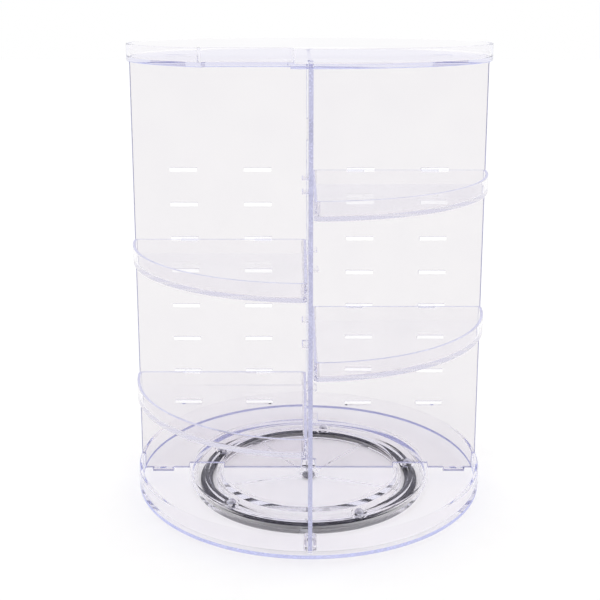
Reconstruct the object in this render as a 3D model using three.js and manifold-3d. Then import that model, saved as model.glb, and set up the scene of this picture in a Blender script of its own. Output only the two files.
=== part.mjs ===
// A clear turning carousel for small bottles and jars: crossed panels on a round tray, quarter
// shelves hooked into the panels, a round tray on top, and a ball-bearing turntable underneath.
// Millimetres, +Z up. The origin is on the turning axis, on the surface that the carousel stands on.
// The front is -Y. The divider stands in the YZ plane, the two half panels in the XZ plane.

import * as THREE from "three";
import { mergeVertices } from "three/addons/utils/BufferGeometryUtils.js";
import Module from "manifold-3d";

const wasm = await Module();
wasm.setup();

// ---- Driving sizes ----

const BASE_RADIUS = 115; // outside of the base tray
const SHELF_INSET = 0.5; // shelves and top tray stand this far inside the base radius
const PANEL_INSET = 0.8; // the panels' outer edges stand this far inside it
const PANEL_THICKNESS = 2.5;

const ROW_COUNT = 8; // rows of hook slots in every panel
const ROW_PITCH = 22.9;
const LOWEST_ROW = 47.3; // from the base tray's floor to the lowest row
const HEAD_ROOM = 71; // from the highest row to the top tray
const COLUMNS = [33.4, 81.6]; // slot centres, measured from the axis
const SLOT_WIDTH = 18;
const SLOT_HEIGHT = 2.8;

const SHELF_HEIGHT = 11;
const SHELF_WALL = 2;
const SHELF_FLOOR = 2.2;
const SHELF_CORNER = 3;
const HOOK_THICKNESS = 1.4;
const HOOK_REACH = 3.5; // how far a hook stands out behind its panel
const SHELF_GAP = 0.4; // between a shelf and a panel

const TOP_HEIGHT = 10.5;
const TOP_FLOOR = 2.5;
const TOP_WALL = 2;
const TOP_TAB_CENTRE = 80.8;
const TOP_TAB_WIDTH = 19.5;
const NOTCH_FROM_AXIS = 10.9; // side of the front recess that is nearest the divider
const NOTCH_WIDTH = 48.6;
const NOTCH_DEPTH = 20.7; // from the rim to the recess's straight wall, measured on the divider's plane
const NOTCH_CORNER = 5;

const BASE_HEIGHT = 14; // the base tray's underside to its rim
const BASE_FLOOR = 3.5;
const BASE_WALL = 2.5;
const BASE_EDGE = 0.8; // rounding of the base tray's outer edges
const BASE_TAB_SPAN = [0.37, 0.83]; // ends of a floor tab, as shares of the floor outside the channel
const POST_DIAMETER = 7.6;
const POST_HEIGHT = 9;

const RACE_RADIUS = 70.05; // middle of the steel race
const RACE_WIDTH = 8.1;
const RACE_THICKNESS = 0.8;
const BALL_RADIUS = 3.175;
const BALL_COUNT = 5;
const BALL_PHASE = 80.6; // degrees from +X
const BALL_PLAY = 0.2; // above and below a ball

const FOOT_PLATE = 1.8;
const CHANNEL_HALF_WIDTH = 6.5; // race centre line to the foot's channel walls
const CHANNEL_WALL = 1.8;
const CHANNEL_PLAY = 1.2; // between the foot's channel walls and the base tray's
const CHANNEL_ROOF = 2;
const CHANNEL_SLOPE = 1; // how far the raised channel's sides lean
const CHANNEL_RISE = 0.4; // how far the channel walls rise above the balls' centres
const TRAY_CLEARANCE = 1.9; // from the race's top up to the base tray's underside
const RIB_WIDTH = 1.2;
const RIB_HEIGHT = 0.9;
const RIB_PHASE = -20; // degrees from +X
const HUB_RADIUS = 6.5;

const PAD_RADIUS = 4;
const PAD_HEIGHT = 1.4;
const PAD_PROUD = 0.7;

const CAGE_THICKNESS = 2;
const CAGE_BAND = 3;
const POCKET_PLAY = 0.4;
const POCKET_WALL = 1.6;

const SCREW_RADIUS = 1.5;
const SCREW_HEAD_RADIUS = 3.6;
const SCREW_HEAD_HEIGHT = 1.2;
const SCREW_HEAD_FACE = 0.75; // flat of the domed head, as a share of its radius
const SCREW_HEAD_RIM = 0.5; // height of the head's straight side, as a share of the head's height
const SCREW_SHORT_OF_BOSS = 0.5; // from the screw's tip to the top of the boss
const WASHER_RADIUS = 4.2;
const WASHER_THICKNESS = 0.5;
const BOSS_RADIUS = 4.5;
const BOSS_HEIGHT = 5.8;

const FIT = 0.3; // gap between pieces that seat on, or pass through, one another
const JOINT_COUNT = 3; // tongues along a half panel's inner edge
const JOINT_HEIGHT = 14;
const ROUND = 60; // facets of a full turn
const SMALL_ROUND = 16; // facets of a small round piece or hole
const BALL_FACETS = [14, 8]; // around and from pole to pole
const CORNER_FACETS = 3; // facets of a shelf's rounded corner
const NOTCH_FACETS = 5; // facets of a rounded corner of the front recess
const QUARTER = Math.PI / 2;
const ROOT = 0.5; // how far a joined shape reaches into its neighbour
const PAST = 1; // how far a cutter runs past the faces that it opens

// ---- Levels and radii worked out from the driving sizes ----

const PLATE_TOP = PAD_PROUD + FOOT_PLATE;
const RACE_BOTTOM = PLATE_TOP + FIT;
const RACE_TOP = RACE_BOTTOM + RACE_THICKNESS;
const BALL_LEVEL = RACE_TOP + BALL_PLAY + BALL_RADIUS;
const ROOF_UNDER = BALL_LEVEL + BALL_RADIUS + BALL_PLAY;
const ROOF_TOP = ROOF_UNDER + CHANNEL_ROOF;
const WALL_TOP = BALL_LEVEL + CHANNEL_RISE;
const BASE_UNDER = RACE_TOP + TRAY_CLEARANCE;
const FLOOR_TOP = BASE_UNDER + BASE_FLOOR;
const BASE_RIM = BASE_UNDER + BASE_HEIGHT;
const BASE_INSIDE = BASE_RADIUS - BASE_WALL;

const SHELF_RADIUS = BASE_RADIUS - SHELF_INSET;
const PANEL_REACH = BASE_RADIUS - PANEL_INSET;
const rowLevel = (row) => FLOOR_TOP + LOWEST_ROW + (ROW_COUNT - row) * ROW_PITCH; // row 1 is the highest
const TOP_UNDER = rowLevel(1) + HEAD_ROOM;
const HALF_PANEL = PANEL_THICKNESS / 2;
// A shelf draws out diagonally, so a hook shifts along its slot as far as it backs out of it.
const HOOK_TRAVEL = SHELF_GAP + PANEL_THICKNESS + HOOK_REACH;
const HOOK_WIDTH = SLOT_WIDTH - HOOK_TRAVEL - 2 * FIT;

const FOOT_INNER_WALL = RACE_RADIUS - CHANNEL_HALF_WIDTH;
const FOOT_OUTER_WALL = RACE_RADIUS + CHANNEL_HALF_WIDTH;
const HOLLOW_INNER = FOOT_INNER_WALL - CHANNEL_WALL - CHANNEL_PLAY;
const HOLLOW_OUTER = FOOT_OUTER_WALL + CHANNEL_WALL + CHANNEL_PLAY;
const RAISED_INNER = HOLLOW_INNER - CHANNEL_ROOF;
const RAISED_OUTER = HOLLOW_OUTER + CHANNEL_ROOF;

const LAND = BASE_INSIDE - RAISED_OUTER; // flat floor between the raised channel and the rim
const BASE_TAB = BASE_TAB_SPAN.map((share) => RAISED_OUTER + share * LAND);
const TOP_TAB = [TOP_TAB_CENTRE - TOP_TAB_WIDTH / 2, TOP_TAB_CENTRE + TOP_TAB_WIDTH / 2];

const HEAD_BOTTOM = PAD_PROUD + FIT;
const WASHER_BOTTOM = HEAD_BOTTOM + SCREW_HEAD_HEIGHT + FIT / 2;
const HUB_RECESS = WASHER_BOTTOM + WASHER_THICKNESS + FIT;
const HUB_TOP = BASE_UNDER - FIT;
const BOSS_TOP = FLOOR_TOP + BOSS_HEIGHT;

// ---- Materials ----

const clear = (color) =>
  new THREE.MeshStandardMaterial({
    color,
    roughness: 0.06,
    metalness: 0,
    transparent: true,
    opacity: 0.35,
  });
const traySheet = () => clear(0xe4e4f4);
const panelSheet = () => clear(0xdcdcf0);
const footPlastic = () => clear(0xe8e8f2);
const steel = (color, roughness) =>
  new THREE.MeshStandardMaterial({ color, roughness, metalness: 1 });
const padRubber = () =>
  new THREE.MeshStandardMaterial({ color: 0xd8dade, roughness: 0.7, metalness: 0 });

// ---- Shape helpers ----

// A closed three.js geometry as a solid that can be cut and joined.
function solid(geometry) {
  geometry.deleteAttribute("normal");
  geometry.deleteAttribute("uv");
  const merged = mergeVertices(geometry, 1e-4);
  return new wasm.Manifold(
    new wasm.Mesh({
      numProp: 3,
      vertProperties: merged.attributes.position.array,
      triVerts: new Uint32Array(merged.index.array),
    }),
  );
}

function geometryOf(body) {
  const mesh = body.getMesh();
  const geometry = new THREE.BufferGeometry();
  const points = new Float32Array(mesh.vertProperties);
  geometry.setAttribute("position", new THREE.BufferAttribute(points, 3));
  geometry.setIndex(new THREE.BufferAttribute(new Uint32Array(mesh.triVerts), 1));
  geometry.computeVertexNormals();
  return geometry;
}

// A closed profile of [radius, level] points turned about Z.
function turned(profile, facets = ROUND) {
  const points = [...profile, profile[0]].map(([r, z]) => new THREE.Vector2(r, z));
  return new THREE.LatheGeometry(points, facets).rotateX(Math.PI / 2);
}

function disc(radius, bottom, top, facets = ROUND) {
  const profile = [
    [0, bottom],
    [radius, bottom],
    [radius, top],
    [0, top],
  ].map(([r, z]) => new THREE.Vector2(r, z));
  return new THREE.LatheGeometry(profile, facets).rotateX(Math.PI / 2);
}

function block([x0, x1], [y0, y1], [z0, z1]) {
  return new THREE.BoxGeometry(x1 - x0, y1 - y0, z1 - z0).translate(
    (x0 + x1) / 2,
    (y0 + y1) / 2,
    (z0 + z1) / 2,
  );
}

function extruded(outline, bottom, top) {
  const shape = new THREE.Shape(outline.map(([x, y]) => new THREE.Vector2(x, y)));
  const depth = top - bottom;
  return new THREE.ExtrudeGeometry(shape, { depth, bevelEnabled: false }).translate(0, 0, bottom);
}

// Points along an arc, both ends included. Angles are in radians.
function arc([x, y], radius, from, to, steps = CORNER_FACETS) {
  return Array.from({ length: steps + 1 }, (_, k) => {
    const angle = from + ((to - from) * k) / steps;
    return [x + radius * Math.cos(angle), y + radius * Math.sin(angle)];
  });
}

const around = (count, phase, make) =>
  Array.from({ length: count }, (_, k) => make(THREE.MathUtils.degToRad(phase + (360 / count) * k), k));

const quarterTurn = (geometry, quarters) => geometry.rotateZ(QUARTER * quarters);

const carousel = new THREE.Group();

function add(name, geometry, material) {
  const mesh = new THREE.Mesh(geometry, material);
  mesh.name = name;
  carousel.add(mesh);
  return mesh;
}

// ---- Foot and turntable ----

// The disc that stays still: a plate with a channel for the race, five radial ribs and a hub.
function footDisc() {
  const outer = FOOT_OUTER_WALL + CHANNEL_WALL;
  const inner = FOOT_INNER_WALL - CHANNEL_WALL;
  const bore = SCREW_RADIUS + FIT;
  const recess = WASHER_RADIUS + FIT;
  let body = solid(
    turned([
      [recess, PAD_PROUD],
      [outer, PAD_PROUD],
      [outer, WALL_TOP],
      [FOOT_OUTER_WALL, WALL_TOP],
      [FOOT_OUTER_WALL, PLATE_TOP],
      [FOOT_INNER_WALL, PLATE_TOP],
      [FOOT_INNER_WALL, WALL_TOP],
      [inner, WALL_TOP],
      [inner, PLATE_TOP],
      [HUB_RADIUS, PLATE_TOP],
      [HUB_RADIUS, HUB_TOP],
      [bore, HUB_TOP],
      [bore, HUB_RECESS],
      [recess, HUB_RECESS],
    ]),
  );
  around(BALL_COUNT, RIB_PHASE, (angle) => {
    const rib = block(
      [HUB_RADIUS - ROOT, inner + ROOT],
      [-RIB_WIDTH / 2, RIB_WIDTH / 2],
      [PLATE_TOP - ROOT, PLATE_TOP + RIB_HEIGHT],
    );
    body = body.add(solid(rib.rotateZ(angle)));
    const seat = disc(PAD_RADIUS + FIT / 2, 0, PAD_HEIGHT + FIT / 2, SMALL_ROUND);
    body = body.subtract(solid(seat.translate(...padPlace(angle))));
  });
  return geometryOf(body);
}

const padPlace = (angle) => [RACE_RADIUS * Math.cos(angle), RACE_RADIUS * Math.sin(angle), 0];

function footPad(angle) {
  return disc(PAD_RADIUS, 0, PAD_HEIGHT, SMALL_ROUND).translate(...padPlace(angle));
}

function steelRace() {
  return turned([
    [RACE_RADIUS - RACE_WIDTH / 2, RACE_BOTTOM],
    [RACE_RADIUS + RACE_WIDTH / 2, RACE_BOTTOM],
    [RACE_RADIUS + RACE_WIDTH / 2, RACE_TOP],
    [RACE_RADIUS - RACE_WIDTH / 2, RACE_TOP],
  ]);
}

// A thin band with a round pocket for each ball.
function ballCage() {
  const low = BALL_LEVEL - CAGE_THICKNESS / 2;
  const high = BALL_LEVEL + CAGE_THICKNESS / 2;
  let body = solid(
    turned([
      [RACE_RADIUS - CAGE_BAND / 2, low],
      [RACE_RADIUS + CAGE_BAND / 2, low],
      [RACE_RADIUS + CAGE_BAND / 2, high],
      [RACE_RADIUS - CAGE_BAND / 2, high],
    ]),
  );
  const pocket = BALL_RADIUS + POCKET_PLAY;
  around(BALL_COUNT, BALL_PHASE, (angle) => {
    const place = [RACE_RADIUS * Math.cos(angle), RACE_RADIUS * Math.sin(angle), 0];
    body = body.add(solid(disc(pocket + POCKET_WALL, low, high, SMALL_ROUND).translate(...place)));
    const hole = disc(pocket, low - PAST, high + PAST, SMALL_ROUND);
    body = body.subtract(solid(hole.translate(...place)));
  });
  return geometryOf(body);
}

function ball(angle) {
  return new THREE.SphereGeometry(BALL_RADIUS, ...BALL_FACETS).translate(
    RACE_RADIUS * Math.cos(angle),
    RACE_RADIUS * Math.sin(angle),
    BALL_LEVEL,
  );
}

// The screw comes up through the foot's hub into the boss of the base tray, and turns with the tray.
function pivotScrew() {
  const shoulder = HEAD_BOTTOM + SCREW_HEAD_HEIGHT;
  const tip = BOSS_TOP - SCREW_SHORT_OF_BOSS;
  const taper = SCREW_RADIUS / 2;
  const profile = [
    [0, HEAD_BOTTOM],
    [SCREW_HEAD_RADIUS * SCREW_HEAD_FACE, HEAD_BOTTOM],
    [SCREW_HEAD_RADIUS, shoulder - SCREW_HEAD_HEIGHT * SCREW_HEAD_RIM],
    [SCREW_HEAD_RADIUS, shoulder],
    [SCREW_RADIUS, shoulder],
    [SCREW_RADIUS, tip - taper],
    [SCREW_RADIUS - taper, tip],
    [0, tip],
  ].map(([r, z]) => new THREE.Vector2(r, z));
  return new THREE.LatheGeometry(profile, SMALL_ROUND).rotateX(Math.PI / 2);
}

function pivotWasher() {
  const hole = SCREW_RADIUS + FIT;
  return turned(
    [
      [hole, WASHER_BOTTOM],
      [WASHER_RADIUS, WASHER_BOTTOM],
      [WASHER_RADIUS, WASHER_BOTTOM + WASHER_THICKNESS],
      [hole, WASHER_BOTTOM + WASHER_THICKNESS],
    ],
    SMALL_ROUND,
  );
}

// ---- Base tray ----

// A round tray whose floor rises over the race, with a boss for the pivot screw.
function baseTray() {
  const bore = SCREW_RADIUS + FIT;
  const edge = BASE_EDGE;
  let body = solid(
    turned([
      [bore, BASE_UNDER],
      [HOLLOW_INNER, BASE_UNDER],
      [HOLLOW_INNER, ROOF_UNDER],
      [HOLLOW_OUTER, ROOF_UNDER],
      [HOLLOW_OUTER, BASE_UNDER],
      [BASE_RADIUS - edge, BASE_UNDER],
      [BASE_RADIUS, BASE_UNDER + edge],
      [BASE_RADIUS, BASE_RIM - edge],
      [BASE_RADIUS - edge, BASE_RIM],
      [BASE_INSIDE, BASE_RIM],
      [BASE_INSIDE, FLOOR_TOP],
      [RAISED_OUTER, FLOOR_TOP],
      [RAISED_OUTER - CHANNEL_SLOPE, ROOF_TOP],
      [RAISED_INNER + CHANNEL_SLOPE, ROOF_TOP],
      [RAISED_INNER, FLOOR_TOP],
      [BOSS_RADIUS, FLOOR_TOP],
      [BOSS_RADIUS, BOSS_TOP],
      [bore, BOSS_TOP],
    ]),
  );
  const half = HALF_PANEL + FIT;
  for (const quarters of [-1, 1]) {
    // A slit post at the rim, front and back, grips the divider's lower corner.
    const centre = BASE_INSIDE - POST_DIAMETER / 2 + ROOT;
    const post = disc(POST_DIAMETER / 2, FLOOR_TOP - ROOT, FLOOR_TOP + POST_HEIGHT, SMALL_ROUND);
    body = body.add(solid(quarterTurn(post.translate(centre, 0, 0), quarters)));
    const slit = block([RAISED_OUTER, BASE_INSIDE], [-half, half], [FLOOR_TOP, BASE_RIM]);
    body = body.subtract(solid(quarterTurn(slit, quarters)));
  }
  for (const quarters of [0, 1, 2, 3]) {
    const [near, far] = BASE_TAB;
    const height = [BASE_UNDER - PAST, FLOOR_TOP + PAST];
    const slot = block([near - FIT, far + FIT], [-half, half], height);
    body = body.subtract(solid(quarterTurn(slot, quarters)));
  }
  return geometryOf(body);
}

// ---- Panels ----

// The outer half of a panel's outline, as [distance from the axis, level], from the notch over
// the boss, along the bottom edge, up the outer edge and back along the top edge.
function panelEdge() {
  const bottom = FLOOR_TOP + FIT;
  const top = TOP_UNDER - FIT;
  const overBoss = BOSS_TOP + FIT;
  const overChannel = ROOF_TOP + FIT;
  const besideBoss = BOSS_RADIUS + FIT;
  const tabBottom = BASE_UNDER + FIT;
  const tabTop = TOP_UNDER + TOP_FLOOR - FIT;
  const insideRim = BASE_INSIDE - FIT;
  return [
    [besideBoss, overBoss],
    [besideBoss, bottom],
    [RAISED_INNER - FIT, bottom],
    [RAISED_INNER - FIT, overChannel],
    [RAISED_OUTER + FIT, overChannel],
    [RAISED_OUTER + FIT, bottom],
    [BASE_TAB[0], bottom],
    [BASE_TAB[0], tabBottom],
    [BASE_TAB[1], tabBottom],
    [BASE_TAB[1], bottom],
    [insideRim, bottom],
    [insideRim, BASE_RIM + FIT],
    [PANEL_REACH, BASE_RIM + FIT],
    [PANEL_REACH, top],
    [TOP_TAB[1], top],
    [TOP_TAB[1], tabTop],
    [TOP_TAB[0], tabTop],
    [TOP_TAB[0], top],
  ];
}

// Cutters for the hook slots in the given columns, one in each row.
function slotCutters(columns) {
  const rows = Array.from({ length: ROW_COUNT }, (_, k) => rowLevel(k + 1));
  return columns.flatMap((column) =>
    rows.map((level) =>
      sheetCutter(
        [column - SLOT_WIDTH / 2, column + SLOT_WIDTH / 2],
        [level - SLOT_HEIGHT / 2, level + SLOT_HEIGHT / 2],
      ),
    ),
  );
}

const sheetCutter = (across, upright) => block(across, [-PANEL_THICKNESS, PANEL_THICKNESS], upright);

const jointLevels = Array.from(
  { length: JOINT_COUNT },
  (_, k) => BASE_RIM + ((TOP_UNDER - BASE_RIM) * (k + 0.5)) / JOINT_COUNT,
);

// An outline in the XZ plane made into a sheet centred on that plane, with openings cut through.
function sheet(outline, cutters) {
  let body = solid(extruded(outline, -HALF_PANEL, HALF_PANEL).rotateX(Math.PI / 2));
  for (const cutter of cutters) body = body.subtract(solid(cutter));
  return geometryOf(body);
}

function dividerPanel() {
  const edge = panelEdge();
  const mirrored = edge.map(([x, z]) => [-x, z]).reverse();
  const half = HALF_PANEL + FIT;
  const reach = JOINT_HEIGHT / 2 + FIT;
  const mortises = jointLevels.map((level) =>
    sheetCutter([-half, half], [level - reach, level + reach]),
  );
  const slots = slotCutters([...COLUMNS, ...COLUMNS.map((column) => -column)]);
  return quarterTurn(sheet([...edge, ...mirrored], [...slots, ...mortises]), 1);
}

// A half panel runs from the divider out along +X. Its tongues meet those of the other half panel
// in the middle of the divider.
function halfPanel() {
  const edge = panelEdge();
  const beside = HALF_PANEL + FIT;
  const meet = FIT / 2;
  const top = edge[edge.length - 1][1];
  const bottom = edge[0][1];
  const inner = [[beside, top]];
  for (const level of [...jointLevels].reverse()) {
    inner.push(
      [beside, level + JOINT_HEIGHT / 2],
      [meet, level + JOINT_HEIGHT / 2],
      [meet, level - JOINT_HEIGHT / 2],
      [beside, level - JOINT_HEIGHT / 2],
    );
  }
  inner.push([beside, bottom]);
  return sheet([...edge, ...inner], slotCutters(COLUMNS));
}

// ---- Shelves ----

// A quarter circle with its straight sides at the given distance from the axis, and round corners.
function quarterOutline(beside, radius, corner) {
  const along = Math.sqrt((radius - corner) ** 2 - (beside + corner) ** 2);
  const lean = Math.atan2(beside + corner, along);
  return [
    ...arc([beside + corner, beside + corner], corner, 2 * QUARTER, 3 * QUARTER),
    ...arc([along, beside + corner], corner, -QUARTER, lean),
    ...arc([0, 0], radius, lean, QUARTER - lean, ROUND / 4).slice(1, -1),
    ...arc([beside + corner, along], corner, QUARTER - lean, 2 * QUARTER),
  ];
}

// One shelf, in the +X +Y quarter, with its rim level with a row of slots.
function shelf(row) {
  const top = rowLevel(row) - SLOT_HEIGHT / 2 + FIT + HOOK_THICKNESS;
  const bottom = top - SHELF_HEIGHT;
  const beside = HALF_PANEL + SHELF_GAP;
  const outside = quarterOutline(beside, SHELF_RADIUS, SHELF_CORNER);
  const inside = quarterOutline(
    beside + SHELF_WALL,
    SHELF_RADIUS - SHELF_WALL,
    SHELF_CORNER - SHELF_WALL / 2,
  );
  let body = solid(extruded(outside, bottom, top));
  body = body.subtract(solid(extruded(inside, bottom + SHELF_FLOOR, top + PAST)));
  for (const column of COLUMNS) {
    // Each hook lies at the axis end of its slot, so that the shelf can be drawn out diagonally.
    const start = column - SLOT_WIDTH / 2 + FIT;
    const along = [start, start + HOOK_WIDTH];
    const through = [-HALF_PANEL - HOOK_REACH, beside + SHELF_WALL / 2];
    const level = [top - HOOK_THICKNESS, top];
    body = body.add(solid(block(along, through, level)));
    body = body.add(solid(block(through, along, level)));
  }
  return geometryOf(body);
}

// ---- Top tray ----

// The front recess: everything in front of its straight wall, with round inner corners.
function notch(grow, bottom, top) {
  const far = -NOTCH_FROM_AXIS - NOTCH_WIDTH - grow;
  const near = -NOTCH_FROM_AXIS + grow;
  const wall = -(SHELF_RADIUS - NOTCH_DEPTH) + grow;
  const corner = NOTCH_CORNER + grow;
  const front = -SHELF_RADIUS - PAST;
  const outline = [
    [far, front],
    [near, front],
    ...arc([near - corner, wall - corner], corner, 0, QUARTER, NOTCH_FACETS),
    ...arc([far + corner, wall - corner], corner, QUARTER, 2 * QUARTER, NOTCH_FACETS),
  ];
  return solid(extruded(outline, bottom, top));
}

function topTray() {
  const top = TOP_UNDER + TOP_HEIGHT;
  const floor = TOP_UNDER + TOP_FLOOR;
  const outside = solid(disc(SHELF_RADIUS, TOP_UNDER, top)).subtract(
    notch(0, TOP_UNDER - PAST, top + PAST),
  );
  const inside = solid(disc(SHELF_RADIUS - TOP_WALL, floor, top + PAST)).subtract(
    notch(TOP_WALL, floor - PAST, top + 2 * PAST),
  );
  let body = outside.subtract(inside);
  const half = HALF_PANEL + FIT;
  for (const quarters of [0, 1, 2, 3]) {
    const [near, far] = TOP_TAB;
    const slot = block([near - FIT, far + FIT], [-half, half], [TOP_UNDER - PAST, floor + PAST]);
    body = body.subtract(solid(quarterTurn(slot, quarters)));
  }
  return geometryOf(body);
}

// ---- Assembly ----

add("foot_disc", footDisc(), footPlastic());
around(BALL_COUNT, RIB_PHASE, (angle, k) => add(`foot_pad_${k + 1}`, footPad(angle), padRubber()));
add("steel_race", steelRace(), steel(0x6a6a70, 0.3));
add("ball_cage", ballCage(), footPlastic());
around(BALL_COUNT, BALL_PHASE, (angle, k) => add(`ball_${k + 1}`, ball(angle), steel(0xb8b8c0, 0.12)));
add("pivot_screw", pivotScrew(), steel(0x55555c, 0.35));
add("pivot_washer", pivotWasher(), steel(0x9a9aa2, 0.3));
add("base_tray", baseTray(), traySheet());
add("divider_panel", dividerPanel(), panelSheet());
add("right_panel", halfPanel(), panelSheet());
add("left_panel", quarterTurn(halfPanel(), 2), panelSheet());

const shelves = [
  { name: "shelf_right_upper", row: 1, quarters: -1 },
  { name: "shelf_left_upper", row: 3, quarters: 2 },
  { name: "shelf_right_lower", row: 5, quarters: -1 },
  { name: "shelf_left_lower", row: 7, quarters: 2 },
];
for (const { name, row, quarters } of shelves) {
  add(name, quarterTurn(shelf(row), quarters), traySheet());
}
add("top_tray", topTray(), traySheet());

export default carousel;
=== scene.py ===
import math

import bmesh
import bpy
from mathutils import Matrix, Vector
from mathutils.geometry import tessellate_polygon


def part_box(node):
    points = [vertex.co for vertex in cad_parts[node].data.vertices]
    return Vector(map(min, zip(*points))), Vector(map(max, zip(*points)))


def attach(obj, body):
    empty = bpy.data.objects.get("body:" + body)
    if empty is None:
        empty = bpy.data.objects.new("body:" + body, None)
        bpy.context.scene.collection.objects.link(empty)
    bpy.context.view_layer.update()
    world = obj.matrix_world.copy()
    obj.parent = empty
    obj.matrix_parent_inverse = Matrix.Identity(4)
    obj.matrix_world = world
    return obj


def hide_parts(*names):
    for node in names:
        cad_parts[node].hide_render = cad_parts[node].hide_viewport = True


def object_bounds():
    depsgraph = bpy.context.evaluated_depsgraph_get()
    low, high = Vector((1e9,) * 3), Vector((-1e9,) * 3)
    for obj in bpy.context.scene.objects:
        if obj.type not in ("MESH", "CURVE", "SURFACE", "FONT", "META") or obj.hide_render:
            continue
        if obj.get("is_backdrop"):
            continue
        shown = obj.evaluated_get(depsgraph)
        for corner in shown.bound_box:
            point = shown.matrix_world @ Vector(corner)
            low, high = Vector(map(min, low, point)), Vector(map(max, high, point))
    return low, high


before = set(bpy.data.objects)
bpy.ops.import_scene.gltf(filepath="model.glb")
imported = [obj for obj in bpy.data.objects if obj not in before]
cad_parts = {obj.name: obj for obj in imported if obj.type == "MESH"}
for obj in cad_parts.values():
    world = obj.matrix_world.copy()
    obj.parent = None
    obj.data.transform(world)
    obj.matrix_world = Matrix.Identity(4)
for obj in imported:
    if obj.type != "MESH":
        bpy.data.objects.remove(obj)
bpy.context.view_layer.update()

# A clear turning carousel. Sizes are in millimetres until a mesh is made. Levels and outer sizes
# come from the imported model's boxes; wall thicknesses and roundings are named here.

MM = 0.001
TURN = 192  # facets of a full turn
SMALL_TURN = 40  # facets of a small round piece
FIT = 0.3  # gap between pieces that seat on one another
EDGE = 0.25  # rounding of a moulded edge
EDGE_STEPS = 3  # facets of a rounded edge
ROOT = 0.5  # how far a joined shape reaches into its neighbour
PAST = 1  # how far a cutter runs past the faces that it opens


def span(node):
    """A CAD node's lowest and highest corner."""
    low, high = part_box(node)
    return low / MM, high / MM


# ---- Levels and radii ----

base_low, base_high = span("base_tray")
BASE_UNDER, BASE_RIM, BASE_RADIUS = base_low.z, base_high.z, base_high.x
BASE_WALL = 2.5
BASE_FLOOR = 3.5
FLOOR_TOP = BASE_UNDER + BASE_FLOOR
BASE_INSIDE = BASE_RADIUS - BASE_WALL
BOSS_RADIUS = 4.5
BOSS_HEIGHT = 5.8
BOSS_TOP = FLOOR_TOP + BOSS_HEIGHT

race_low, race_high = span("steel_race")
RACE_WIDTH = 8.1
RACE_RADIUS = race_high.x - RACE_WIDTH / 2
FOOT_LOW, FOOT_HIGH = span("foot_disc")
PLATE_LOW, WALL_TOP = FOOT_LOW.z, FOOT_HIGH.z
FOOT_PLATE = 1.8
PLATE_TOP = PLATE_LOW + FOOT_PLATE
CHANNEL_HALF = 6.5
CHANNEL_WALL = 1.8
CHANNEL_PLAY = 1.2
CHANNEL_SLOPE = 1  # how far the raised channel's sides lean
CHANNEL_ROOF = 2
BALL_PLAY = 0.2
ROOF_UNDER = span("ball_1")[1].z + BALL_PLAY
ROOF_TOP = ROOF_UNDER + CHANNEL_ROOF
FOOT_OUTER = RACE_RADIUS + CHANNEL_HALF + CHANNEL_WALL
FOOT_INNER = RACE_RADIUS - CHANNEL_HALF - CHANNEL_WALL
HOLLOW_OUTER = FOOT_OUTER + CHANNEL_PLAY
HOLLOW_INNER = FOOT_INNER - CHANNEL_PLAY
RAISED_OUTER = HOLLOW_OUTER + CHANNEL_ROOF
RAISED_INNER = HOLLOW_INNER - CHANNEL_ROOF
HUB_RADIUS = 6.5
HUB_TOP = BASE_UNDER - FIT
BORE = 1.8  # radius of the screw's hole

panel_low, panel_high = span("right_panel")
HALF_PANEL = panel_high.y
PANEL_REACH = panel_high.x
PANEL_TOP = panel_high.z

LAND = BASE_INSIDE - RAISED_OUTER
BASE_TAB = [RAISED_OUTER + 0.37 * LAND, RAISED_OUTER + 0.83 * LAND]
TOP_TAB_CENTRE = 80.8
TOP_TAB_WIDTH = 19.5
TOP_TAB = [TOP_TAB_CENTRE - TOP_TAB_WIDTH / 2, TOP_TAB_CENTRE + TOP_TAB_WIDTH / 2]
tray_low, tray_high = span("top_tray")
TOP_UNDER, TOP_RIM, TOP_RADIUS = tray_low.z, tray_high.z, tray_high.x
TOP_FLOOR = TOP_UNDER + 2.5
SHEET_TOP = TOP_UNDER - FIT

COLUMNS = [33.4, 81.6]
SLOT_WIDTH = 18
SLOT_HEIGHT = 2.8
ROW_COUNT = 8
ROW_ONE = span("shelf_right_upper")[1].z - FIT
ROW_PITCH = (ROW_ONE - span("shelf_left_upper")[1].z + FIT) / 2

# ---- Outline helpers ----


def fillet(points, radius, steps=EDGE_STEPS):
    """A closed outline with its corners rounded. radius is one number, or one for each corner."""
    radii = radius if isinstance(radius, list) else [radius] * len(points)
    out = []
    for k, (point, r) in enumerate(zip(points, radii)):
        p = Vector(point)
        a = Vector(points[k - 1]) - p
        b = Vector(points[(k + 1) % len(points)]) - p
        opening = a.angle(b) if a.length > 1e-6 and b.length > 1e-6 else math.pi
        if r <= 0 or opening > math.pi - 0.03:
            out.append(p)
            continue
        reach = min(r / math.tan(opening / 2), 0.45 * a.length, 0.45 * b.length)
        r = reach * math.tan(opening / 2)
        middle = (a.normalized() + b.normalized()).normalized()
        centre = p + middle * (r / math.sin(opening / 2))
        start = p + a.normalized() * reach - centre
        end = p + b.normalized() * reach - centre
        turn = math.copysign(math.pi - opening, start.x * end.y - start.y * end.x)
        for i in range(steps + 1):
            angle = turn * i / steps
            cos, sin = math.cos(angle), math.sin(angle)
            out.append(centre + Vector((start.x * cos - start.y * sin, start.x * sin + start.y * cos)))
    return out


def inset(points, depth):
    """The closed outline moved towards its left-hand side, with the same number of points."""
    out = []
    for k, p in enumerate(points):
        u = (p - points[k - 1]).normalized()
        v = (points[(k + 1) % len(points)] - p).normalized()
        across = Vector((-u.y - v.y, u.x + v.x))
        out.append(p + across * (depth / max(1 + u.dot(v), 0.3)))
    return out


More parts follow.
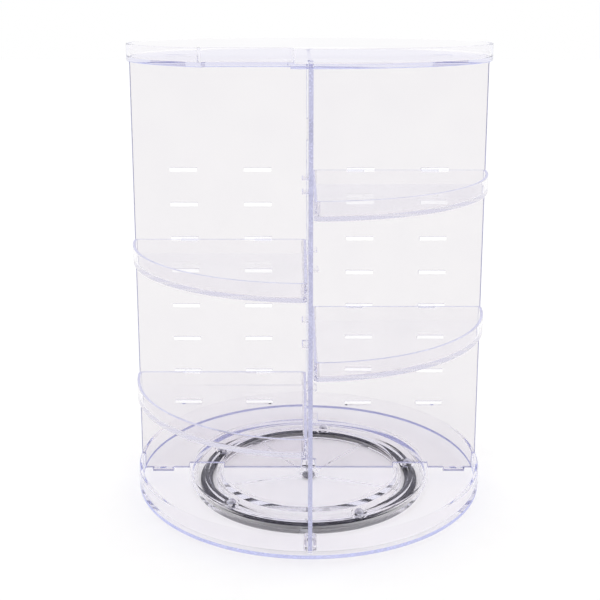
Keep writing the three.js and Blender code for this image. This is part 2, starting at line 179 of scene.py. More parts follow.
def arc(centre, radius, start, end, steps):
    """Points along an arc with both its ends. Angles are in radians."""
    angles = [start + (end - start) * k / steps for k in range(steps + 1)]
    return [Vector((centre[0] + radius * math.cos(a), centre[1] + radius * math.sin(a))) for a in angles]


def rectangle(x, y):
    return [Vector(p) for p in ((x[0], y[0]), (x[1], y[0]), (x[1], y[1]), (x[0], y[1]))]


# ---- Mesh helpers ----


def object_from(name, points, faces, marks=None):
    """A mesh object with its normals facing out. marks gives each face's material slot."""
    mesh = bpy.data.meshes.new(name)
    mesh.from_pydata([Vector(p) * MM for p in points], [], faces)
    if marks:
        mesh.polygons.foreach_set("material_index", marks)
    work = bmesh.new()
    work.from_mesh(mesh)
    bmesh.ops.remove_doubles(work, verts=work.verts, dist=1e-7)
    bmesh.ops.recalc_face_normals(work, faces=work.faces)
    if work.calc_volume(signed=True) < 0:
        bmesh.ops.reverse_faces(work, faces=work.faces)
    work.to_mesh(mesh)
    work.free()
    made = bpy.data.objects.new(name, mesh)
    bpy.context.scene.collection.objects.link(made)
    return made


def bands(rings):
    """Faces between closed rings of equal length, with points numbered one ring after another."""
    count = len(rings[0])
    faces = []
    for ring in range(len(rings) - 1):
        for k in range(count):
            j = (k + 1) % count
            low, high = ring * count, (ring + 1) * count
            faces.append((low + k, low + j, high + j, high + k))
    return faces


def lathe(name, profile, facets=TURN):
    """A closed profile of (radius, level) points turned about Z. Points on the axis are merged."""
    points, faces = [], []
    count = len(profile)
    for k in range(facets):
        angle = 2 * math.pi * k / facets
        points += [(r * math.cos(angle), r * math.sin(angle), z) for r, z in profile]
    for k in range(facets):
        here, there = k * count, (k + 1) % facets * count
        for i in range(count):
            j = (i + 1) % count
            if profile[i][0] < 1e-6 and profile[j][0] < 1e-6:
                continue
            corners = [here + i, here + j, there + j, there + i]
            if profile[j][0] < 1e-6:
                corners.remove(there + j)
            if profile[i][0] < 1e-6:
                corners.remove(there + i)
            faces.append(tuple(corners))
    return object_from(name, points, faces)


def edge_rows(low, high, rounding):
    """(inset, level) of each row of points up a wall with rounded lower and upper edges."""
    turn = [math.pi / 2 * k / EDGE_STEPS for k in range(EDGE_STEPS + 1)]
    lower = [(rounding * (1 - math.sin(a)), low + rounding * (1 - math.cos(a))) for a in turn]
    return lower + [(d, high - (z - low)) for d, z in reversed(lower)]


def prism(name, outline, low, high, holes=(), rounding=EDGE, edge_slot=0):
    """A solid between two levels, with rounded edges. The outline runs anticlockwise and its sides
    take edge_slot; holes run clockwise."""
    rows = edge_rows(low, high, rounding)
    points, faces, rings = [], [], []
    for contour in [outline, *holes]:
        start = len(points)
        layers = [[(*p, z) for p in inset(contour, depth)] for depth, z in rows]
        points += [p for layer in layers for p in layer]
        faces += [tuple(start + k for k in face) for face in bands(layers)]
        rings.append((start, len(contour)))
    outer = (len(rows) - 1) * len(outline)
    marks = [edge_slot] * outer + [0] * (len(faces) - outer)
    for row in (0, len(rows) - 1):
        index = [start + row * count + k for start, count in rings for k in range(count)]
        loops = [[Vector(points[start + row * count + k]) for k in range(count)] for start, count in rings]
        for triangle in tessellate_polygon(loops):
            faces.append(tuple(index[k] for k in triangle))
            marks.append(0)
    return object_from(name, points, faces, marks)


def loft(name, loops):
    """A closed solid through loops of equal length, capped at both ends."""
    points = [p for loop in loops for p in loop]
    faces = bands(loops)
    count = len(loops[0])
    for start in (0, (len(loops) - 1) * count):
        cap = [Vector(points[start + k]) for k in range(count)]
        faces += [tuple(start + k for k in triangle) for triangle in tessellate_polygon([cap])]
    return object_from(name, points, faces)


def tray_loops(outside, inside, low, floor, high, rounding, cove):
    """Loops up a tray's outer wall, over its rim, down its inner wall and in across its floor."""
    loops = [[(*p, z) for p in inset(outside, depth)] for depth, z in edge_rows(low, high, rounding)]
    inner = list(reversed(edge_rows(floor, high, rounding)))[: EDGE_STEPS + 1]
    loops += [[(*p, z) for p in inset(inside, -depth)] for depth, z in inner]
    steps = 5
    for k in range(steps + 1):
        angle = math.pi / 2 * k / steps
        depth, z = cove * (1 - math.cos(angle)), floor + cove * (1 - math.sin(angle))
        loops.append([(*p, z) for p in inset(inside, depth)])
    return loops


def turned(piece, quarters=0.0, upright=False):
    """The piece's mesh stood up out of the XY plane if asked, and turned about Z."""
    matrix = Matrix.Rotation(math.pi / 2 * quarters, 4, "Z")
    if upright:
        matrix = matrix @ Matrix.Rotation(math.pi / 2, 4, "X")
    piece.data.transform(matrix)
    return piece


def moved(piece, x=0.0, y=0.0, z=0.0):
    piece.data.transform(Matrix.Translation(Vector((x, y, z)) * MM))
    return piece


def boolean(piece, tools, operation):
    """Joins tools to the piece, or cuts them from it, and removes them."""
    for tool in tools:
        step = piece.modifiers.new("step", "BOOLEAN")
        step.operation = operation
        step.object = tool
        step.solver = "MANIFOLD"
    graph = bpy.context.evaluated_depsgraph_get()
    result = bpy.data.meshes.new_from_object(piece.evaluated_get(graph))
    piece.modifiers.clear()
    piece.data = result
    for tool in tools:
        bpy.data.objects.remove(tool)
    return piece


def block(x, y, z, rounding=0.05):
    return prism("tool", rectangle(x, y), z[0], z[1], rounding=rounding)


def finish_piece(piece, body, nodes, materials, is_edge=None):
    """Shades a piece smoothly, gives it its materials, ties it to its CAD body and hides the CAD nodes that
    it stands in for.
    is_edge(centre, normal) picks the faces that take the second material, the painted edge glow."""
    mesh = piece.data
    marks = [face.material_index for face in mesh.polygons]
    if is_edge:
        marks = [int(is_edge(face.center / MM, face.normal)) for face in mesh.polygons]
    mesh.polygons.foreach_set("use_smooth", [True] * len(mesh.polygons))
    mesh.set_sharp_from_angle(angle=math.radians(32))
    weigh = piece.modifiers.new("weighted normals", "WEIGHTED_NORMAL")
    weigh.weight = 100
    weigh.keep_sharp = True
    mesh.materials.clear()
    for finish in materials:
        mesh.materials.append(finish)
    mesh.polygons.foreach_set("material_index", marks)
    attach(piece, body)
    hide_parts(*nodes)
    return piece


# ---- Materials ----


def node(tree, kind, **values):
    """A new shader node with the given properties."""
    made = tree.nodes.new(kind)
    for key, value in values.items():
        setattr(made, key, value)
    return made


def noise(tree, vector, scale, detail=3.0, roughness=0.5):
    made = node(tree, "ShaderNodeTexNoise")
    made.inputs["Scale"].default_value = scale
    made.inputs["Detail"].default_value = detail
    made.inputs["Roughness"].default_value = roughness
    tree.links.new(vector, made.inputs["Vector"])
    return made.outputs["Fac"]


def spread(tree, value, low, high):
    """The middle half of a value that runs from 0 to 1, spread over low to high."""
    made = node(tree, "ShaderNodeMapRange")
    made.inputs["From Min"].default_value = 0.25
    made.inputs["From Max"].default_value = 0.75
    made.inputs["To Min"].default_value = low
    made.inputs["To Max"].default_value = high
    tree.links.new(value, made.inputs["Value"])
    return made.outputs["Result"]


def tinted(tree, value, first, second):
    """A colour between two, by a value that runs from 0 to 1."""
    ramp = node(tree, "ShaderNodeValToRGB")
    ramp.color_ramp.elements[0].position = 0.3
    ramp.color_ramp.elements[1].position = 0.7
    ramp.color_ramp.elements[0].color = (*first, 1)
    ramp.color_ramp.elements[1].color = (*second, 1)
    tree.links.new(value, ramp.inputs["Fac"])
    return ramp.outputs["Color"]


def bumped(tree, shader, height, strength, distance):
    bump = node(tree, "ShaderNodeBump")
    bump.inputs["Strength"].default_value = strength
    bump.inputs["Distance"].default_value = distance
    tree.links.new(height, bump.inputs["Height"])
    tree.links.new(bump.outputs["Normal"], shader.inputs["Normal"])


def material(name):
    made = bpy.data.materials.new(name)
    made.use_nodes = True
    tree = made.node_tree
    place = node(tree, "ShaderNodeTexCoord").outputs["Object"]
    return made, tree, tree.nodes["Principled BSDF"], place


def clear_plastic(name, first, second, roughness, density, wave):
    """Clear plastic that takes up colour along the light's way, with faint flow marks and fine scuffs."""
    made, tree, shader, place = material(name)
    shader.inputs["Transmission Weight"].default_value = 1
    shader.inputs["IOR"].default_value = PLASTIC_IOR
    flow = noise(tree, place, 28, 2.0)
    tree.links.new(tinted(tree, flow, first, second), shader.inputs["Base Color"])
    scuffs = noise(tree, place, 420, 4.0, 0.7)
    tree.links.new(spread(tree, scuffs, *roughness), shader.inputs["Roughness"])
    bumped(tree, shader, flow, wave, 0.0004)
    volume = node(tree, "ShaderNodeVolumeAbsorption")
    volume.inputs["Color"].default_value = (*LAVENDER, 1)
    volume.inputs["Density"].default_value = density
    tree.links.new(volume.outputs["Volume"], tree.nodes["Material Output"].inputs["Volume"])
    return made


def painted_edge_glow(name, first, second):
    """A cut or moulded edge painted with a soft lavender glow: painted light standing for the plastic's
    colour gathered along the sheet and shining out there.
    """
    made, tree, shader, place = material(name)
    shader.inputs["Transmission Weight"].default_value = 0.3
    shader.inputs["IOR"].default_value = PLASTIC_IOR
    flow = noise(tree, place, 90, 3.0)
    tree.links.new(tinted(tree, flow, first, second), shader.inputs["Base Color"])
    saw = noise(tree, place, 1400, 3.0, 0.6)
    tree.links.new(spread(tree, saw, 0.18, 0.34), shader.inputs["Roughness"])
    bumped(tree, shader, saw, 0.12, 0.00005)
    return made


def brushed_round(name, first, second, roughness):
    """Steel strip with fine marks that run round the axis."""
    made, tree, shader, place = material(name)
    parts = node(tree, "ShaderNodeSeparateXYZ")
    tree.links.new(place, parts.inputs[0])
    radius = node(tree, "ShaderNodeVectorMath", operation="LENGTH")
    flat = node(tree, "ShaderNodeCombineXYZ")
    tree.links.new(parts.outputs["X"], flat.inputs["X"])
    tree.links.new(parts.outputs["Y"], flat.inputs["Y"])
    tree.links.new(flat.outputs[0], radius.inputs[0])
    angle = node(tree, "ShaderNodeMath", operation="ARCTAN2")
    tree.links.new(parts.outputs["Y"], angle.inputs[0])
    tree.links.new(parts.outputs["X"], angle.inputs[1])
    scaled = node(tree, "ShaderNodeMath", operation="MULTIPLY")
    scaled.inputs[1].default_value = 0.004
    tree.links.new(angle.outputs[0], scaled.inputs[0])
    wound = node(tree, "ShaderNodeCombineXYZ")
    tree.links.new(radius.outputs["Value"], wound.inputs["X"])
    tree.links.new(scaled.outputs[0], wound.inputs["Y"])
    marks = noise(tree, wound.outputs[0], 5200, 3.0, 0.6)
    broad = noise(tree, place, 45, 2.0)
    shader.inputs["Metallic"].default_value = 1
    tree.links.new(tinted(tree, broad, first, second), shader.inputs["Base Color"])
    tree.links.new(spread(tree, marks, *roughness), shader.inputs["Roughness"])
    bumped(tree, shader, marks, 0.25, 0.00003)
    return made


def polished_metal(name, first, second, roughness, scale, bump):
    made, tree, shader, place = material(name)
    grain = noise(tree, place, scale, 4.0, 0.6)
    shader.inputs["Metallic"].default_value = 1
    tree.links.new(tinted(tree, grain, first, second), shader.inputs["Base Color"])
    tree.links.new(spread(tree, grain, *roughness), shader.inputs["Roughness"])
    bumped(tree, shader, grain, bump, 0.00005)
    return made


def soft_rubber(name):
    made, tree, shader, place = material(name)
    grain = noise(tree, place, 900, 3.0)
    colour = tinted(tree, grain, (0.78, 0.79, 0.82), (0.86, 0.87, 0.9))
    tree.links.new(colour, shader.inputs["Base Color"])
    tree.links.new(spread(tree, grain, 0.45, 0.65), shader.inputs["Roughness"])
    shader.inputs["Transmission Weight"].default_value = 0.5
    bumped(tree, shader, grain, 0.2, 0.00005)
    return made


PLASTIC_IOR = 1.1  # below acrylic's 1.49, which keeps the outlines pale
LAVENDER = (0.10, 0.10, 0.62)  # the colour that the plastic lets through along a long way
tray_plastic = clear_plastic(
    "tray plastic", (0.97, 0.965, 0.975), (0.985, 0.98, 0.99), (0.0, 0.015), density=1.1, wave=0.02
)
sheet_plastic = clear_plastic(
    "sheet plastic", (0.845, 0.83, 0.855), (0.865, 0.85, 0.87), (0.0, 0.012), density=1.6, wave=0.01
)
foot_plastic = clear_plastic(
    "foot plastic", (0.98, 0.98, 0.985), (0.995, 0.99, 0.995), (0.0, 0.02), density=0.8, wave=0.03
)
# painted edge glow: lavender colour on the edges, painted light for the plastic's colour gathered along the
# sheet
sheet_edge_glow_paint = painted_edge_glow("sheet edge glow paint", (0.56, 0.565, 0.75), (0.62, 0.625, 0.80))
tray_edge_glow_paint = painted_edge_glow("tray edge glow paint", (0.50, 0.53, 0.84), (0.58, 0.60, 0.88))
rim_edge_glow_paint = painted_edge_glow("rim edge glow paint", (0.60, 0.61, 0.80), (0.68, 0.68, 0.85))
race_steel = brushed_round("race steel", (0.045, 0.043, 0.055), (0.085, 0.083, 0.10), (0.14, 0.3))
ball_steel = polished_metal(
    "ball steel", (0.62, 0.62, 0.65), (0.75, 0.75, 0.78), (0.05, 0.12), scale=900, bump=0.02
)
screw_steel = polished_metal(
    "screw steel", (0.16, 0.16, 0.18), (0.26, 0.26, 0.29), (0.28, 0.4), scale=1500, bump=0.1
)
pad_rubber = soft_rubber("pad rubber")

# ---- Foot and turntable ----

RIB_COUNT = 5
RIB_PHASE = -20  # degrees from +X
RIB_WIDTH = 1.2
RIB_HEIGHT = 0.9
PAD_RADIUS = 4
PAD_SEAT_TOP = 1.55


def rib_angles():
    return [math.radians(RIB_PHASE + 360 / RIB_COUNT * k) for k in range(RIB_COUNT)]


def at_race(angle):
    return RACE_RADIUS * math.cos(angle), RACE_RADIUS * math.sin(angle)


def foot_disc():
    wall_out = RACE_RADIUS + CHANNEL_HALF
    wall_in = RACE_RADIUS - CHANNEL_HALF
    recess = 4.5
    recess_top = span("pivot_washer")[1].z + FIT
    profile = [
        (recess, PLATE_LOW), (FOOT_OUTER, PLATE_LOW), (FOOT_OUTER, WALL_TOP), (wall_out, WALL_TOP),
        (wall_out, PLATE_TOP), (wall_in, PLATE_TOP), (wall_in, WALL_TOP), (FOOT_INNER, WALL_TOP),
        (FOOT_INNER, PLATE_TOP), (HUB_RADIUS, PLATE_TOP), (HUB_RADIUS, HUB_TOP), (BORE, HUB_TOP),
        (BORE, recess_top), (recess, recess_top),
    ]
    body = lathe("clear_foot_disc", fillet(profile, 0.3))
    ribs, seats = [], []
    along = (HUB_RADIUS - ROOT, FOOT_INNER + ROOT)
    across = (-RIB_WIDTH / 2, RIB_WIDTH / 2)
    upright = (PLATE_TOP - ROOT, PLATE_TOP + RIB_HEIGHT)
    below, seat_radius = PLATE_LOW - PAST, PAD_RADIUS + FIT / 2
    seat_profile = [(0, below), (seat_radius, below), (seat_radius, PAD_SEAT_TOP), (0, PAD_SEAT_TOP)]
    for angle in rib_angles():
        ribs.append(turned(block(along, across, upright, 0.2), angle / (math.pi / 2)))
        seats.append(moved(lathe("seat", seat_profile, SMALL_TURN), *at_race(angle)))
    return boolean(boolean(body, ribs, "UNION"), seats, "DIFFERENCE")


finish_piece(foot_disc(), "foot", ["foot_disc"], [foot_plastic])

for k, angle in enumerate(rib_angles(), 1):
    low, high = span(f"foot_pad_{k}")
    corners = [(0, 0), (PAD_RADIUS, 0), (PAD_RADIUS, high.z), (0, high.z)]
    profile = fillet(corners, [0, 0.35, 0.1, 0], 4)
    pad = moved(lathe(f"soft_pad_{k}", profile, SMALL_TURN), *at_race(angle))
    finish_piece(pad, "foot", [f"foot_pad_{k}"], [pad_rubber])


def steel_race():
    """A flat rolled strip with a shallow track for the balls."""
    inner, outer = RACE_RADIUS - RACE_WIDTH / 2, RACE_RADIUS + RACE_WIDTH / 2
    low, high = race_low.z, race_high.z
    depth, side, floor = 0.12, 1.3, 0.6
    rim = [(inner, low), (outer, low), (outer, high)]
    track = [
        (RACE_RADIUS + side, high), (RACE_RADIUS + floor, high - depth),
        (RACE_RADIUS - floor, high - depth), (RACE_RADIUS - side, high),
    ]
    corner, soft = 0.15, 0.6
    radii = [corner] * len(rim) + [soft] * len(track) + [corner]
    return lathe("steel_race_ring", fillet([*rim, *track, (inner, high)], radii))


finish_piece(steel_race(), "foot", ["steel_race"], [race_steel])


def ball_places():
    """The middle of each ball, from its CAD node's box."""
    boxes = [span(f"ball_{k}") for k in range(1, 6)]
    return [(low + high) / 2 for low, high in boxes]


BALL_RADIUS = (span("ball_1")[1].z - span("ball_1")[0].z) / 2
BALL_STEPS = 24  # facets from pole to pole
CAGE_BAND = 3
POCKET_PLAY = 0.4
POCKET_WALL = 1.6


def ball_cage():
    low, high = (corner.z for corner in span("ball_cage"))
    inner, outer = RACE_RADIUS - CAGE_BAND / 2, RACE_RADIUS + CAGE_BAND / 2
    band = [(inner, low), (outer, low), (outer, high), (inner, high)]
    body = lathe("clear_ball_cage", fillet(band, EDGE))
    pocket = BALL_RADIUS + POCKET_PLAY
    rim = pocket + POCKET_WALL
    eyes, holes = [], []
    for place in ball_places():
        angle = math.atan2(place.y, place.x)
        eye = fillet([(0, low), (rim, low), (rim, high), (0, high)], [0, EDGE, EDGE, 0])
        eyes.append(moved(lathe("eye", eye, SMALL_TURN), *at_race(angle)))
        hole = [(0, low - PAST), (pocket, low - PAST), (pocket, high + PAST), (0, high + PAST)]
        holes.append(moved(lathe("hole", hole, SMALL_TURN), *at_race(angle)))
    return boolean(boolean(body, eyes, "UNION"), holes, "DIFFERENCE")


finish_piece(ball_cage(), "cage", ["ball_cage"], [foot_plastic])

for k, place in enumerate(ball_places(), 1):
    angle = math.atan2(place.y, place.x)
    half = arc((0, 0), BALL_RADIUS, -math.pi / 2, math.pi / 2, BALL_STEPS)
    half = [Vector((0, -BALL_RADIUS)), *half[1:-1], Vector((0, BALL_RADIUS))]
    made = moved(lathe(f"steel_ball_{k}", half, 2 * BALL_STEPS), *at_race(angle), place.z)
    finish_piece(made, f"ball_{k}", [f"ball_{k}"], [ball_steel])


def pivot_screw():
    """A pan-head screw with its head under the foot and a thread up into the tray's boss."""
    low, high = (corner.z for corner in span("pivot_screw"))
    head, head_height, shank = 3.6, 1.2, 1.5
    shoulder = low + head_height
    face = head * 0.75
    profile = [(0, low), (face, low), (head, low + head_height / 2), (head, shoulder), (shank, shoulder)]
    pitch, depth = 0.7, 0.22
    z = FLOOR_TOP - 2
    while z < high - 1.6:
        crest, root = z + 0.1, z + pitch / 2
        profile += [(shank, z), (shank, crest), (shank - depth, root), (shank, z + pitch - 0.05)]
        z += pitch
    profile += [(shank - 0.1, high - 0.8), (shank / 2, high), (0, high)]
    body = lathe("pivot_screw_threaded", profile, SMALL_TURN)
    long, narrow, deep = (-2, 2), (-0.35, 0.35), (low - PAST, low + 0.7)
    return boolean(body, [block(long, narrow, deep), block(narrow, long, deep)], "DIFFERENCE")


def pivot_washer():
    low, high = span("pivot_washer")
    profile = [(BORE, low.z), (high.x, low.z), (high.x, high.z), (BORE, high.z)]
    return lathe("pivot_washer_ring", fillet(profile, 0.1), SMALL_TURN)


finish_piece(pivot_screw(), "carousel", ["pivot_screw"], [screw_steel])
finish_piece(pivot_washer(), "carousel", ["pivot_washer"], [screw_steel])

# ---- Base tray ----

POST_RADIUS = 3.8
POST_HEIGHT = 9
BAND = 2.7  # height of the band at the foot of the base tray's wall that takes the painted edge glow


def base_tray():
    edge = 0.8
    profile = [
        (BORE, BASE_UNDER, 0.1), (HOLLOW_INNER, BASE_UNDER, 0.3), (HOLLOW_INNER, ROOF_UNDER, 0.5),
        (HOLLOW_OUTER, ROOF_UNDER, 0.5), (HOLLOW_OUTER, BASE_UNDER, 0.3), (BASE_RADIUS, BASE_UNDER, edge),
        (BASE_RADIUS, BASE_UNDER + BAND, 0),
        (BASE_RADIUS, BASE_RIM, edge), (BASE_INSIDE, BASE_RIM, edge), (BASE_INSIDE, FLOOR_TOP, 1.0),
        (RAISED_OUTER, FLOOR_TOP, 0.8), (RAISED_OUTER - CHANNEL_SLOPE, ROOF_TOP, 0.6),
        (RAISED_INNER + CHANNEL_SLOPE, ROOF_TOP, 0.6),
        (RAISED_INNER, FLOOR_TOP, 0.8), (BOSS_RADIUS, FLOOR_TOP, 0.6), (BOSS_RADIUS, BOSS_TOP, 0.4),
        (BORE, BOSS_TOP, 0.1),
    ]
    corners, radii = [(r, z) for r, z, _ in profile], [rounding for _, _, rounding in profile]
    body = lathe("clear_base_tray", fillet(corners, radii, 5))
    half = HALF_PANEL + FIT
    posts, cuts = [], []
    foot, top = FLOOR_TOP - ROOT, FLOOR_TOP + POST_HEIGHT
    corners = [(0, foot), (POST_RADIUS, foot), (POST_RADIUS, top), (0, top)]
    for quarters in (-1, 1):
        post = lathe("post", fillet(corners, [0, 0, 0.5, 0]), SMALL_TURN)
        posts.append(turned(moved(post, BASE_INSIDE - POST_RADIUS + ROOT), quarters))
        slit = block((RAISED_OUTER, BASE_INSIDE), (-half, half), (FLOOR_TOP, BASE_RIM + PAST))
        cuts.append(turned(slit, quarters))
    for quarters in range(4):
        along, upright = (BASE_TAB[0] - FIT, BASE_TAB[1] + FIT), (BASE_UNDER - PAST, FLOOR_TOP + PAST)
        cuts.append(turned(block(along, (-half, half), upright), quarters))
    return boolean(boolean(body, posts, "UNION"), cuts, "DIFFERENCE")


def base_glow_paint_faces(centre, normal):
    """The end of the floor at the foot of the wall, which takes the painted edge glow."""
    return math.hypot(centre.x, centre.y) > BASE_RADIUS - 0.9 and centre.z < BASE_UNDER + BAND


finish_piece(base_tray(), "carousel", ["base_tray"], [tray_plastic, tray_edge_glow_paint], base_glow_paint_faces)

# ---- Panels ----


def panel_edge():
    """The outer half of a panel's outline as (distance from the axis, level)."""
    bottom = FLOOR_TOP + FIT
    over_channel = ROOF_TOP + FIT
    over_boss = BOSS_TOP + FIT
    beside_boss = BOSS_RADIUS + FIT
    inside_rim = BASE_INSIDE - FIT
    return [
        (beside_boss, over_boss), (beside_boss, bottom), (RAISED_INNER - FIT, bottom),
        (RAISED_INNER - FIT, over_channel), (RAISED_OUTER + FIT, over_channel),
        (RAISED_OUTER + FIT, bottom), (BASE_TAB[0], bottom), (BASE_TAB[0], panel_low.z),
        (BASE_TAB[1], panel_low.z), (BASE_TAB[1], bottom),
        (inside_rim, bottom), (inside_rim, BASE_RIM + FIT), (PANEL_REACH, BASE_RIM + FIT),
        (PANEL_REACH, SHEET_TOP), (TOP_TAB[1], SHEET_TOP), (TOP_TAB[1], PANEL_TOP), (TOP_TAB[0], PANEL_TOP),
        (TOP_TAB[0], SHEET_TOP),
    ]


def clockwise(points):
    return [Vector(p) for p in reversed(points)]


def slot_holes(columns):
    """The hook slots in the given columns, one in each row, as clockwise outlines."""
    holes = []
    for column in columns:
        for row in range(ROW_COUNT):
            level = ROW_ONE - ROW_PITCH * row
            across = (column - SLOT_WIDTH / 2, column + SLOT_WIDTH / 2)
            upright = (level - SLOT_HEIGHT / 2, level + SLOT_HEIGHT / 2)
            holes.append(clockwise(fillet(rectangle(across, upright), 0.5)))
    return holes


JOINT_COUNT = 3  # tongues along a half panel's inner edge
JOINT_HEIGHT = 14
JOINT_RUN = TOP_UNDER - BASE_RIM
JOINT_LEVELS = [BASE_RIM + JOINT_RUN * (k + 0.5) / JOINT_COUNT for k in range(JOINT_COUNT)]


def divider_panel():
    edge = panel_edge()
    outline = fillet([*edge, *[(-x, z) for x, z in reversed(edge)]], 0.3)
    half = HALF_PANEL + FIT
    reach = JOINT_HEIGHT / 2 + FIT
    holes = slot_holes([*COLUMNS, *[-c for c in COLUMNS]])
    for level in JOINT_LEVELS:
        holes.append(clockwise(rectangle((-half, half), (level - reach, level + reach))))
    body = prism("clear_divider_panel", outline, -HALF_PANEL, HALF_PANEL, holes, edge_slot=1)
    return turned(body, 1, upright=True)


def half_panel(name, quarters):
    edge = panel_edge()
    beside, meet = HALF_PANEL + FIT, FIT / 2
    inner = [(beside, SHEET_TOP)]
    for level in reversed(JOINT_LEVELS):
        top, bottom = level + JOINT_HEIGHT / 2, level - JOINT_HEIGHT / 2
        inner += [(beside, top), (meet, top), (meet, bottom), (beside, bottom)]
    inner.append((beside, BOSS_TOP + FIT))
    outline = fillet([*edge, *inner], 0.3)
    body = prism(name, outline, -HALF_PANEL, HALF_PANEL, slot_holes(COLUMNS), edge_slot=1)
    return turned(body, quarters, upright=True)


# the panels' cut sides take the second material, the painted edge glow
panel_materials = [sheet_plastic, sheet_edge_glow_paint]
finish_piece(divider_panel(), "carousel", ["divider_panel"], panel_materials)
for side, quarters in (("right", 0), ("left", 2)):
    made = half_panel(f"clear_{side}_panel", quarters)
    finish_piece(made, "carousel", [f"{side}_panel"], panel_materials)

# ---- Shelves ----

SHELF_WALL = 2
SHELF_FLOOR = 2.2
SHELF_CORNER = 3
BESIDE_PANEL = HALF_PANEL + 0.4
HOOK_THICKNESS = 1.4
HOOK_REACH = 3.5
HOOK_WIDTH = 11
COVE = 0.8  # rounding between a tray's wall and its floor


def quarter_outline(beside, radius, corner):
    """A quarter circle with its straight sides at the given distance from the axis, anticlockwise."""
    along = math.sqrt((radius - corner) ** 2 - (beside + corner) ** 2)
    lean = math.atan2(beside + corner, along)
    right = math.pi / 2
    return [
        *arc((beside + corner, beside + corner), corner, 2 * right, 3 * right, 6),
        *arc((along, beside + corner), corner, -right, lean, 6),
        *arc((0, 0), radius, lean, right - lean, TURN // 4)[1:-1],
        *arc((beside + corner, along), corner, right - lean, 2 * right, 6),
    ]


def shelf(name, node_name, quarters):
    bottom, top = (corner.z for corner in span(node_name))
    outside = quarter_outline(BESIDE_PANEL, TOP_RADIUS, SHELF_CORNER)
    inner_corner = SHELF_CORNER - SHELF_WALL / 2
    inside = quarter_outline(BESIDE_PANEL + SHELF_WALL, TOP_RADIUS - SHELF_WALL, inner_corner)
    body = loft(name, tray_loops(outside, inside, bottom, bottom + SHELF_FLOOR, top, 0.35, COVE))
    through = (-HALF_PANEL - HOOK_REACH, BESIDE_PANEL + SHELF_WALL / 2)
    hooks = []
    for column in COLUMNS:
        start = column - SLOT_WIDTH / 2 + FIT
        along = (start, start + HOOK_WIDTH)
        for x, y in ((along, through), (through, along)):
            outline = fillet(rectangle(x, y), 0.6)
            hooks.append(prism("hook", outline, top - HOOK_THICKNESS, top))
    return turned(boolean(body, hooks, "UNION"), quarters)


LEVELS = ("upper", "lower")
SHELF_TOPS = [span(f"shelf_{side}_{level}")[1].z for side in ("right", "left") for level in LEVELS]


def shelf_rim_glow_paint_faces(centre, normal):
    """The top of a shelf's wall, without its hooks, which takes the painted edge glow."""
    beside_panels = min(abs(centre.x), abs(centre.y)) > BESIDE_PANEL
    return beside_panels and any(abs(top - centre.z) < 0.1 for top in SHELF_TOPS)


for side, quarters in (("right", -1), ("left", 2)):
    for level in LEVELS:
        name = f"shelf_{side}_{level}"
        made = shelf(f"clear_{name}", name, quarters)
        finish_piece(made, name, [name], [tray_plastic, rim_edge_glow_paint], shelf_rim_glow_paint_faces)

# ---- Top tray ----

RECESS_FROM_AXIS = 10.9
RECESS_WIDTH = 48.6
RECESS_DEPTH = 20.7


def notched_circle(radius, near, far, wall, corner):
    """A circle with a recess in its front edge, anticlockwise from the recess's far side."""
    right = math.pi / 2
    start = math.atan2(-math.sqrt(radius**2 - near**2), near)
    end = math.atan2(-math.sqrt(radius**2 - far**2), far)
    round_edge = arc((0, 0), radius, start, end + 2 * math.pi, TURN)
    near_corner = arc((near - corner, wall - corner), corner, 0, right, 8)
    far_corner = arc((far + corner, wall - corner), corner, right, 2 * right, 8)
    return [*round_edge, *reversed(far_corner), *reversed(near_corner)]


def top_tray():
    near, far, corner, wall = -RECESS_FROM_AXIS, -RECESS_FROM_AXIS - RECESS_WIDTH, 5, 2
    wall_y = -(TOP_RADIUS - RECESS_DEPTH)
    outside = notched_circle(TOP_RADIUS, near, far, wall_y, corner)
    inside = notched_circle(TOP_RADIUS - wall, near + wall, far - wall, wall_y + wall, corner + wall)
    body = loft("clear_top_tray", tray_loops(outside, inside, TOP_UNDER, TOP_FLOOR, TOP_RIM, 0.4, COVE))
    half = HALF_PANEL + FIT
    cuts = []
    for quarters in range(4):
        along, upright = (TOP_TAB[0] - FIT, TOP_TAB[1] + FIT), (TOP_UNDER - PAST, TOP_FLOOR + PAST)
        cuts.append(turned(block(along, (-half, half), upright), quarters))
    return boolean(body, cuts, "DIFFERENCE")


def top_glow_paint_faces(centre, normal):
    """The rounded lower edge of the outer wall, where the floor ends, which takes the painted edge glow."""
    return abs(normal.z) < 0.95 and centre.z < TOP_UNDER + 0.5


finish_piece(top_tray(), "top_tray", ["top_tray"], [tray_plastic, tray_edge_glow_paint], top_glow_paint_faces)

# ---- Floor, light and camera ----


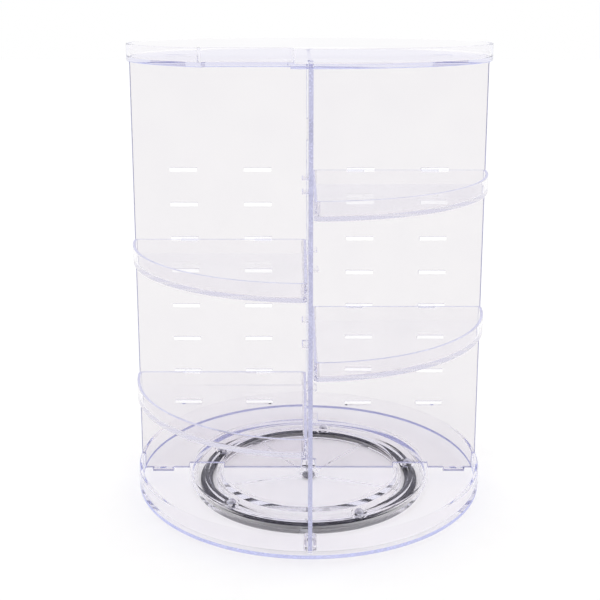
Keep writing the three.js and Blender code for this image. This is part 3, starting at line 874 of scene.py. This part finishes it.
def studio_floor():
    mesh = bpy.data.meshes.new("floor")
    half = 6.0
    corners = [(-half, -half, 0), (half, -half, 0), (half, half, 0), (-half, half, 0)]
    mesh.from_pydata(corners, [], [(0, 1, 2, 3)])
    floor = bpy.data.objects.new("floor", mesh)
    bpy.context.scene.collection.objects.link(floor)
    made, tree, shader, place = material("floor paper")
    grain = noise(tree, place, 60, 3.0)
    colour = tinted(tree, grain, (0.94, 0.94, 0.94), (0.95, 0.95, 0.95))
    tree.links.new(colour, shader.inputs["Base Color"])
    shader.inputs["Roughness"].default_value = 0.9
    shader.inputs["Specular IOR Level"].default_value = 0.1
    mesh.materials.append(made)
    floor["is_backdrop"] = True


def studio_world():
    """White all round for what is seen straight or through the plastic and for what lights the
    floor. What is reflected sees the studio: white paper behind and above, and a dimmer front."""
    world = bpy.data.worlds.new("studio")
    bpy.context.scene.world = world
    world.use_nodes = True
    tree = world.node_tree
    place = node(tree, "ShaderNodeTexCoord").outputs["Generated"]
    path = node(tree, "ShaderNodeLightPath")

    def backdrop(colour, strength):
        made = node(tree, "ShaderNodeBackground")
        made.inputs["Color"].default_value = (*colour, 1)
        made.inputs["Strength"].default_value = strength
        return made

    def mixed(factor, first, second):
        mix = node(tree, "ShaderNodeMixShader")
        tree.links.new(factor, mix.inputs["Fac"])
        tree.links.new(first.outputs[0], mix.inputs[1])
        tree.links.new(second.outputs[0], mix.inputs[2])
        return mix

    def towards(direction, start, end):
        """0 to 1 as a direction turns towards the given one, between two cosines."""
        dot = node(tree, "ShaderNodeVectorMath", operation="DOT_PRODUCT")
        dot.inputs[1].default_value = direction
        tree.links.new(place, dot.inputs[0])
        made = node(tree, "ShaderNodeMapRange", interpolation_type="SMOOTHSTEP")
        made.inputs["From Min"].default_value = start
        made.inputs["From Max"].default_value = end
        tree.links.new(dot.outputs["Value"], made.inputs["Value"])
        return made.outputs["Result"]

    def deeper(name):
        made = node(tree, "ShaderNodeMath", operation="GREATER_THAN")
        made.inputs[1].default_value = 0.5
        tree.links.new(path.outputs[name], made.inputs[0])
        return made.outputs[0]

    paper = backdrop((0.95, 0.95, 1.0), 1.0)
    front = backdrop((0.92, 0.91, 1.0), 0.42)
    studio = mixed(towards((0, -1, 0), -0.1, 0.7), paper, front)
    seen = mixed(deeper("Glossy Depth"), backdrop((1, 1, 1), 1.0), studio)
    lit = mixed(deeper("Diffuse Depth"), seen, backdrop((1, 0.998, 0.985), 1.16))
    tree.nodes.remove(tree.nodes["Background"])
    tree.links.new(lit.outputs[0], tree.nodes["World Output"].inputs["Surface"])


def studio_camera():
    data = bpy.data.cameras.new("camera")
    data.lens = 61.2
    data.sensor_width = 36
    data.shift_y = -0.125
    data.clip_start, data.clip_end = 0.01, 50
    camera = bpy.data.objects.new("camera", data)
    camera.location = Vector((-5.9, -654.6, 318)) * MM
    camera.rotation_euler = (math.pi / 2 - 0.2078, 0, 0)
    bpy.context.scene.collection.objects.link(camera)
    bpy.context.scene.camera = camera


studio_floor()
studio_world()
studio_camera()

scene = bpy.context.scene
scene.view_settings.view_transform = "Standard"
BOUNCES = 36  # enough for light to pass every clear wall on its way
scene.cycles.max_bounces = BOUNCES
scene.cycles.transmission_bounces = BOUNCES
scene.cycles.glossy_bounces = BOUNCES
scene.cycles.diffuse_bounces = 12
scene.cycles.blur_glossy = 0.0
scene.cycles.transparent_max_bounces = 16

low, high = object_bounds()
